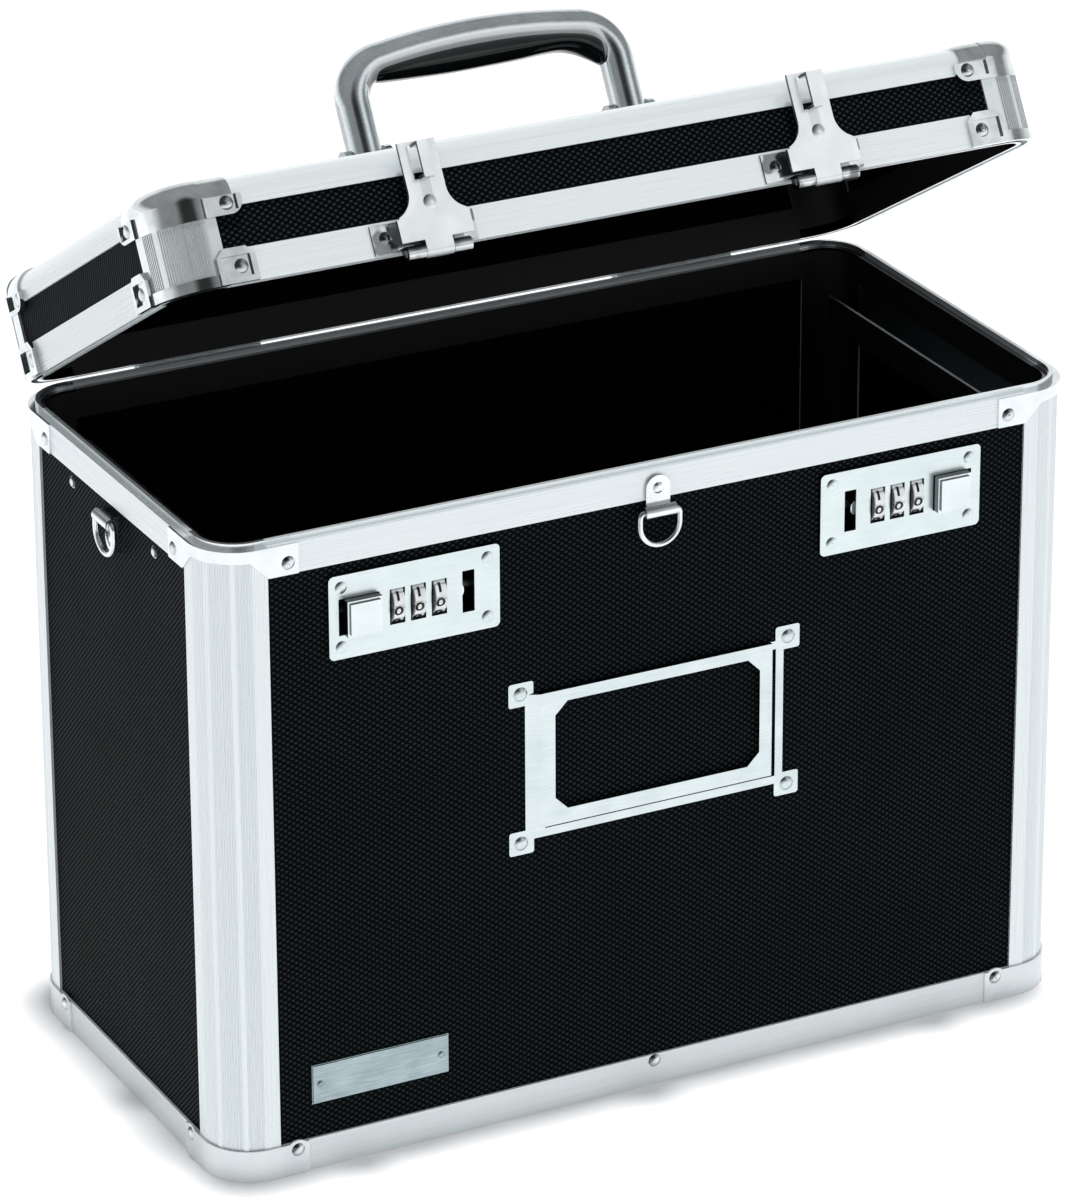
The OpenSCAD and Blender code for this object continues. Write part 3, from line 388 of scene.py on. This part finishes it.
gripSkin = {"dark": (0.004, 0.005, 0.006), "light": (0.010, 0.012, 0.013), "cloudScale": 0.08,
            "fineScale": 1.6, "roughness": 0.08, "mottle": 0.1, "relief": 0.06, "depth": 0.05}


# smooth black plastic with a fine grain
def gripFinish():
    s = Surface("gripPlastic", Specular_IOR_Level=0.5)
    x, y, z = s.place(True)
    cloud = s.noise(s.vector(x, y, z), gripSkin["cloudScale"])
    fine = s.noise(s.vector(x, y, z), gripSkin["fineScale"])
    s.feed("Base Color", s.mix(cloud, gripSkin["dark"], gripSkin["light"]))
    s.feed("Roughness", gripSkin["roughness"] + cloud * gripSkin["mottle"])
    s.bump(fine, gripSkin["relief"], gripSkin["depth"])
    return s.material


ink = {"dark": (0.004, 0.005, 0.006), "light": (0.02, 0.022, 0.024), "cloudScale": 1.2}


def inkFinish():
    s = Surface("dialInk", Roughness=0.6, Specular_IOR_Level=0.2)
    x, y, z = s.place()
    cloud = s.noise(s.vector(x, y, z), ink["cloudScale"])
    s.feed("Base Color", s.mix(cloud, ink["dark"], ink["light"]))
    return s.material


finishes = {
    "board": boardFinish("wovenBoard", False),
    "boardLid": boardFinish("wovenBoardLid", True),
    "edging": edgingFinish("drawnEdging", False),
    "edgingLid": edgingFinish("drawnEdgingLid", True, metallic=0.3),
    "base": edgingFinish("drawnBase", False, metallic=0.12),
    "post": edgingFinish("flutedPost", False, upright=True),
    "postLid": edgingFinish("flutedPostLid", True, upright=True, metallic=0.8, roughness=0.24),
    "corner": metalFinish("polishedCorner", (0.84, 0.88, 0.89), (0.72, 0.77, 0.79), 0.12,
                          metallic=0.9, lining=True),
    "cornerBase": metalFinish("baseCorner", (0.80, 0.85, 0.86), (0.72, 0.77, 0.79), 0.18,
                              metallic=0.3, lining=True),
    "cornerLid": metalFinish("polishedCornerLid", (0.84, 0.88, 0.89), (0.62, 0.66, 0.68), 0.09,
                             onLid=True, lining=True, patches=0.1),
    "haspBase": metalFinish("haspBaseMetal", (0.84, 0.88, 0.89), (0.66, 0.70, 0.72), 0.12,
                            onLid=True, edgeShade=0.9, patches=0.7),
    "rivet": metalFinish("rivetMetal", (0.78, 0.82, 0.83), (0.60, 0.65, 0.67), 0.16,
                         edgeShade=0.9, domed=True),
    "rivetLid": metalFinish("rivetMetalLid", (0.78, 0.82, 0.83), (0.60, 0.65, 0.67), 0.16,
                            onLid=True, edgeShade=0.9, domed=True),
    "strip": metalFinish("platedStrip", (0.50, 0.54, 0.56), (0.36, 0.40, 0.42), 0.28,
                         brushed=0.7),
    "sheet": metalFinish("pressedSheet", (0.70, 0.77, 0.78), (0.58, 0.66, 0.67), 0.26,
                         brushed=0.5, edgeShade=0.85, lean=(0.46, 0.9)),
    "name": metalFinish("brushedPlate", (0.46, 0.55, 0.58), (0.28, 0.35, 0.38), 0.3,
                        brushed=0.6, edgeShade=0.6),
    "lockPlate": metalFinish("lockPlateMetal", (0.70, 0.78, 0.78), (0.62, 0.70, 0.71), 0.26,
                             brushed=0.5, edgeShade=0.9),
    "button": metalFinish("buttonMetal", (0.74, 0.81, 0.82), (0.66, 0.73, 0.74), 0.18,
                          edgeShade=0.85),
    "steel": metalFinish("innerSteel", (0.34, 0.36, 0.38), (0.20, 0.22, 0.23), 0.34,
                         brushed=0.4),
    "housing": metalFinish("housingSteel", (0.030, 0.032, 0.035), (0.018, 0.019, 0.021), 0.4,
                           brushed=0.4),
    "fitting": metalFinish("brightFitting", (0.84, 0.89, 0.89), (0.72, 0.77, 0.78), 0.14,
                           edgeShade=0.5),
    "hasp": metalFinish("haspMetal", (0.86, 0.90, 0.91), (0.76, 0.81, 0.82), 0.15,
                        onLid=True, metallic=0.55, edgeShade=0.9),
    "handle": handleFinish(),
    "grip": gripFinish(),
    "ink": inkFinish(),
}

# a node takes the entry with the longest name that its own name starts with
finishOf = {
    "panel_": "board", "lid_top": "boardLid", "lid_walls": "boardLid",
    "post_": "post", "lid_posts": "postLid",
    "rim_rails": "edging", "base_rails": "base",
    "lid_rim_rails": "edgingLid", "lid_edge_rails": "edgingLid",
    "rim_corners": "corner", "base_corners": "cornerBase",
    "lid_caps": "cornerLid", "lid_corner_plates": "cornerLid",
    "case_rivets": "rivet", "lid_rivets": "rivetLid",
    "file_rail_": "strip", "hinge_leaves_": "strip", "hinge_pins": "steel",
    "label_holder": "sheet", "name_plate": "name",
    "ring_bracket_": "fitting", "strap_ring_": "fitting",
    "lock_plate_": "lockPlate", "lock_housing_": "housing", "lock_button_": "button",
    "lock_bolt_": "fitting", "lock_spring_": "steel", "dial_shafts": "steel",
    "hasp_bases": "haspBase", "hasp_pins": "steel", "hasp_left": "hasp", "hasp_right": "hasp",
    "handle": "handle", "handle_grip": "grip", "handle_brackets": "handle", "handle_pins": "steel",
}

sides = ("left", "right")
dialNames = [f"dial_{side}_{i}" for side in sides for i in (1, 2, 3)]

for name in dialNames:
    finishes[name], finishOf[name] = dialFinish(name), name

for name, obj in nodes.items():
    key = max((k for k in finishOf if name.startswith(k)), key=len)
    for slot in obj.material_slots:
        slot.material = finishes[finishOf[key]]
print("finishes:", len(finishes))


# puts an object with this data into the scene
def addObject(name, data):
    made = bpy.data.objects.new(name, data)
    bpy.context.scene.collection.objects.link(made)
    return made


# joins rings of points into a tube that is closed at both ends
def tubeMesh(name, rings):
    bm = bmesh.new()
    loops = [[bm.verts.new(point) for point in ring] for ring in rings]
    for loopA, loopB in zip(loops, loops[1:]):
        for i in range(len(loopA)):
            j = (i + 1) % len(loopA)
            bm.faces.new((loopA[i], loopA[j], loopB[j], loopB[i]))
    bm.faces.new(loops[0][::-1])
    bm.faces.new(loops[-1])
    bmesh.ops.recalc_face_normals(bm, faces=bm.faces)
    mesh = bpy.data.meshes.new(name)
    bm.to_mesh(mesh)
    bm.free()
    return mesh


# stretch is how many millimetres one unit of the font is drawn wide, and shownAt is how far
# below the front the zero stands, in degrees
digits = {"count": 10, "radius": 9.0, "height": 3.4, "stretch": 7.5, "weight": 0.016,
          "proud": 0.04, "shownAt": 10.0, "slice": 0.4}


# a numeral as a flat mesh, cut across so that it can bend round the dial
def flatDigit(number):
    curve = bpy.data.curves.new("numeral", "FONT")
    curve.body = str(number)
    curve.align_x, curve.align_y = "CENTER", "CENTER"
    curve.resolution_u = 4
    curve.offset = digits["weight"]
    holder = addObject("numeral", curve)
    shaped = holder.evaluated_get(bpy.context.evaluated_depsgraph_get())
    flat = bpy.data.meshes.new_from_object(shaped)
    bpy.data.objects.remove(holder)
    bpy.data.curves.remove(curve)
    bm = bmesh.new()
    bm.from_mesh(flat)
    bpy.data.meshes.remove(flat)
    bmesh.ops.remove_doubles(bm, verts=bm.verts, dist=1e-5)
    xs, ys = [v.co.x for v in bm.verts], [v.co.y for v in bm.verts]
    midX, midY = (max(xs) + min(xs)) / 2, (max(ys) + min(ys)) / 2
    sizeY = max(ys) - min(ys)
    for v in bm.verts:
        v.co.x = (v.co.x - midX) * digits["stretch"]
        v.co.y = (v.co.y - midY) / sizeY * digits["height"]
    level = -digits["height"] / 2 + digits["slice"]
    while level < digits["height"] / 2:
        parts = bm.verts[:] + bm.edges[:] + bm.faces[:]
        bmesh.ops.bisect_plane(bm, geom=parts, plane_co=(0, level, 0), plane_no=(0, 1, 0))
        level += digits["slice"]
    return bm


# the numerals of one dial, laid on its rim and thickened a little
def dialNumbers(dialName):
    low, high = (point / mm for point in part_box(dialName))
    midX, midZ = (low.x + high.x) / 2, (low.z + high.z) / 2
    axisY = (low.y + high.y) / 2
    reach = digits["radius"] + digits["proud"]
    mesh = bpy.data.meshes.new(dialName + "_numbers")
    bm = bmesh.new()
    for number in range(digits["count"]):
        flat = flatDigit(number)
        turn = math.radians(360 / digits["count"] * number - digits["shownAt"])
        for v in flat.verts:
            angle = turn + v.co.y / digits["radius"]
            y, z = axisY - reach * math.cos(angle), midZ + reach * math.sin(angle)
            v.co = Vector((midX + v.co.x, y, z))
        joined = bpy.data.meshes.new("joined")
        flat.to_mesh(joined)
        bm.from_mesh(joined)
        bpy.data.meshes.remove(joined)
        flat.free()
    for v in bm.verts:
        v.co *= mm
    bm.normal_update()
    bm.to_mesh(mesh)
    bm.free()
    piece = addObject(dialName + "_numbers", mesh)
    thick = piece.modifiers.new("thick", "SOLIDIFY")
    thick.thickness = 2 * digits["proud"] * mm
    thick.offset = 0
    mesh.materials.append(finishes["ink"])
    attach(piece, dialName)


for name in dialNames:
    dialNumbers(name)
print("dials: numbers on", len(dialNames))


# travel is the slide's, and clear keeps the coil off the lug and the housing
spring = {"turns": 8, "perTurn": 16, "wire": 0.25, "around": 6, "clear": 0.03, "travel": 1.8}


# a wound spring behind each button
def lockSpring(side):
    low, high = (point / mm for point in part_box(f"lock_spring_{side}"))
    midY, midZ = (low.y + high.y) / 2, (low.z + high.z) / 2
    wire = spring["wire"]
    radius = (high.z - low.z) / 2 - wire
    first, last = low.x + wire + spring["clear"], high.x - wire - spring["clear"]
    steps = spring["turns"] * spring["perTurn"]
    rings = []
    for k in range(steps + 1):
        turn = 2 * math.pi * k / spring["perTurn"]
        outward = Vector((0.0, math.cos(turn), math.sin(turn)))
        middle = Vector((first + (last - first) * k / steps, midY, midZ)) + outward * radius
        ring = []
        for i in range(spring["around"]):
            a = 2 * math.pi * i / spring["around"]
            point = middle + (outward * math.cos(a) + Vector((math.sin(a), 0.0, 0.0))) * wire
            ring.append(point * mm)
        rings.append(ring)
    mesh = tubeMesh(f"springCoil_{side}", rings)
    piece = addObject(f"springCoil_{side}", mesh)
    mesh.materials.append(finishes["steel"])
    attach(piece, "case")
    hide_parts(f"lock_spring_{side}")
    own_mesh(piece)


for side in sides:
    lockSpring(side)
print("locks: springs")


# low lists x with the underside's height over the lid's seam, and half lists x with half the width;
# arch is the radius of the bar's curve and archZ the height of its middle over the seam;
# sunk is how far the sleeve's top lies below the bar's axis
grip = {"arch": 250.0, "archZ": -163.7, "sunk": 2.8, "sections": 60, "around": 40,
        "squareY": 0.8, "squareZ": 0.9,
        "low": ((-46.0, 76.4), (-43.0, 75.2), (-38.0, 74.6), (-28.0, 74.2), (-12.0, 73.8),
                (4.0, 74.0), (16.0, 74.3), (26.0, 74.8), (33.0, 74.6), (39.0, 72.9),
                (44.0, 69.9), (47.5, 67.2)),
        "half": ((-46.0, 2.0), (-43.0, 5.0), (-38.0, 6.2), (-20.0, 6.4), (0.0, 6.5),
                 (20.0, 7.0), (40.0, 6.9), (47.5, 5.4))}


# value on a smooth curve through listed pairs
def smooth(pairs, at):
    k = max(i for i in range(len(pairs) - 1) if pairs[i][0] <= at + 1e-9)
    (x0, v0), (x1, v1) = pairs[k], pairs[k + 1]
    slopes = []
    for i in (k, k + 1):
        (xa, va), (xb, vb) = pairs[max(i - 1, 0)], pairs[min(i + 1, len(pairs) - 1)]
        slopes.append((vb - va) / (xb - xa))
    span = x1 - x0
    t = (at - x0) / span
    return ((2 * t ** 3 - 3 * t ** 2 + 1) * v0 + (t ** 3 - 2 * t ** 2 + t) * span * slopes[0]
            + (3 * t ** 2 - 2 * t ** 3) * v1 + (t ** 3 - t ** 2) * span * slopes[1])


# a point given on the shut lid, with z over its seam, where it lies with the lid open
def onOpenLid(x, y, z):
    angle = math.radians(-lidPose["open"])
    y0, z0 = y - lidPose["pivotY"], z + lidPose["seamZ"] - lidPose["pivotZ"]
    c, s = math.cos(angle), math.sin(angle)
    return Vector((x, lidPose["pivotY"] + y0 * c - z0 * s, lidPose["pivotZ"] + y0 * s + z0 * c)) * mm


# a sleeve moulded to the bar above and to the fingers below
def handleGrip():
    x0, x1 = grip["low"][0][0], grip["low"][-1][0]
    rings = []
    for k in range(grip["sections"] + 1):
        x = x0 + (x1 - x0) * k / grip["sections"]
        low, half = smooth(grip["low"], x), smooth(grip["half"], x)
        top = grip["archZ"] + math.sqrt(grip["arch"] ** 2 - x * x) - grip["sunk"]
        mid = (top + low) / 2
        ring = []
        for i in range(grip["around"]):
            turn = 2 * math.pi * i / grip["around"]
            c, s = math.cos(turn), math.sin(turn)
            y = half * math.copysign(abs(c) ** grip["squareY"], c)
            z = mid + (top - low) / 2 * math.copysign(abs(s) ** grip["squareZ"], s)
            ring.append(onOpenLid(x, y, z))
        rings.append(ring)
    mesh = tubeMesh("gripSleeve", rings)
    mesh.polygons.foreach_set("use_smooth", [len(p.vertices) == 4 for p in mesh.polygons])
    piece = addObject("gripSleeve", mesh)
    mesh.materials.append(finishes["grip"])
    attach(piece, "handle")
    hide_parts("handle_grip")


handleGrip()
print("handle: grip")


view = {"azimuth": -27.08, "elevation": 23.85, "roll": -0.27, "distance": 2.3991,
        "target": (-0.00519, 0.0, 0.16473), "lens": 193.98, "sensor": 36.0, "farthest": 50.0}


# from the middle towards a place round the object; azimuth 0 is the front
def direction(azimuth, elevation):
    a, e = math.radians(azimuth), math.radians(elevation)
    return Vector((math.sin(a) * math.cos(e), -math.cos(a) * math.cos(e), math.sin(e)))


def makeCamera():
    lensData = bpy.data.cameras.new("camera")
    lensData.lens = view["lens"]
    lensData.sensor_width = view["sensor"]
    lensData.clip_end = view["farthest"]
    camera = addObject("camera", lensData)
    back = direction(view["azimuth"], view["elevation"])
    right = (-back).cross(Vector((0, 0, 1))).normalized()
    up = right.cross(-back)
    roll = math.radians(view["roll"])
    sideways = right * math.cos(roll) + up * math.sin(roll)
    upwards = up * math.cos(roll) - right * math.sin(roll)
    turn = Matrix((sideways, upwards, back)).transposed().to_4x4()
    place = Vector(view["target"]) + back * view["distance"]
    camera.matrix_world = Matrix.Translation(place) @ turn
    bpy.context.scene.camera = camera


makeCamera()


# the gloss values are what metal mirrors at the horizon, above it and overhead;
# from lowEnd to midStart, both sines of a height, the first gives way to the second
studio = {"key": (148.0, 87.9), "keyPower": 2.85, "keySpread": 4.0,
          "fill": (-15.0, 38.0), "fillPower": 0.6, "fillSpread": 70.0, "sky": 0.30,
          "glossLow": 1.0, "glossMid": 0.26, "glossTop": 0.36, "lowEnd": 0.06, "midStart": 0.28,
          "floor": (0.93, 0.93, 0.94), "floorGlow": 0.02, "floorSize": 12.0, "near": 0.35,
          "far": 1.0}

# mirrored by polished metal alone: white screens to the right and behind, and a dark one
# to the front; inner and outer are the angles between which each fades
panels = ({"at": (38.0, 27.0), "inner": 10.0, "outer": 17.0, "level": 0.95},
          {"at": (165.0, 10.0), "inner": 24.0, "outer": 40.0, "level": 0.95},
          {"at": (-14.0, 33.0), "inner": 13.0, "outer": 25.0, "level": 0.03})


# a lamp that metal doesn't mirror
def softSun(name, angles, power, spread):
    lamp = bpy.data.lights.new(name, "SUN")
    lamp.energy = power
    lamp.angle = math.radians(spread)
    holder = addObject(name, lamp)
    holder.rotation_euler = direction(*angles).to_track_quat("Z", "Y").to_euler()
    holder.visible_glossy = False


softSun("keyLight", studio["key"], studio["keyPower"], studio["keySpread"])
softSun("fillLight", studio["fill"], studio["fillPower"], studio["fillSpread"])


# white to the camera, an even dome for matt surfaces, and a grey room over a pale horizon for metal
def makeWorld():
    world = bpy.data.worlds.new("studio")
    bpy.context.scene.world = world
    world.use_nodes = True
    w = Graph(world.node_tree)
    background = w.tree.nodes["Background"]
    heading = w.node("ShaderNodeTexCoord", {}, out="Generated")
    z = w.node("ShaderNodeSeparateXYZ", {}, heading, out="Z")
    rise = z.ramp(studio["lowEnd"], studio["midStart"])
    high = z.ramp(studio["midStart"], 1.0)
    gloss = studio["glossLow"] * (1 - rise) + studio["glossMid"] * rise
    gloss = gloss + (studio["glossTop"] - studio["glossMid"]) * high
    for panel in panels:
        toward = w.node("ShaderNodeVectorMath", {"operation": "DOT_PRODUCT"}, heading,
                        tuple(direction(*panel["at"])))
        edges = (math.cos(math.radians(panel["outer"])), math.cos(math.radians(panel["inner"])))
        lit = toward.ramp(*edges)
        gloss = gloss * (1 - lit) + panel["level"] * lit
    isGlossy = w.node("ShaderNodeLightPath", {}, out="Is Glossy Ray")
    isCamera = w.node("ShaderNodeLightPath", {}, out="Is Camera Ray")
    isThrough = w.node("ShaderNodeLightPath", {}, out="Is Transmission Ray")
    level = isGlossy * gloss + (1 - isGlossy) * studio["sky"]
    white = isCamera.max(isThrough)
    level = level * (1 - white) + white
    w.tree.links.new(level.socket, background.inputs["Strength"])
    background.inputs["Color"].default_value = (1.0, 1.0, 1.0, 1.0)


makeWorld()


# pale ground that keeps the shadow and glows a little, to the camera and near the box in metal
def makeFloor():
    half = studio["floorSize"] / 2
    points = [(-half, -half, 0), (half, -half, 0), (half, half, 0), (-half, half, 0)]
    mesh = bpy.data.meshes.new("floor")
    mesh.from_pydata(points, [], [(0, 1, 2, 3)])
    floor = addObject("floor", mesh)
    s = Surface("studioFloor", Roughness=0.9, Specular_IOR_Level=0.0, Emission_Strength=1.0)
    s.shader.inputs["Base Color"].default_value = (*studio["floor"], 1.0)
    isCamera = s.node("ShaderNodeLightPath", {}, out="Is Camera Ray")
    isGlossy = s.node("ShaderNodeLightPath", {}, out="Is Glossy Ray")
    x, y = s.place()[:2]
    away = ((x * x + y * y) ** 0.5 / 1000.0).ramp(studio["near"], studio["far"])
    glow = isCamera.max(isGlossy * (1 - away)) * studio["floorGlow"]
    s.feed("Emission Color", s.vector(glow, glow, glow))
    mesh.materials.append(s.material)


makeFloor()

bpy.context.scene.view_settings.view_transform = "Standard"
print("studio: camera, lights, floor")
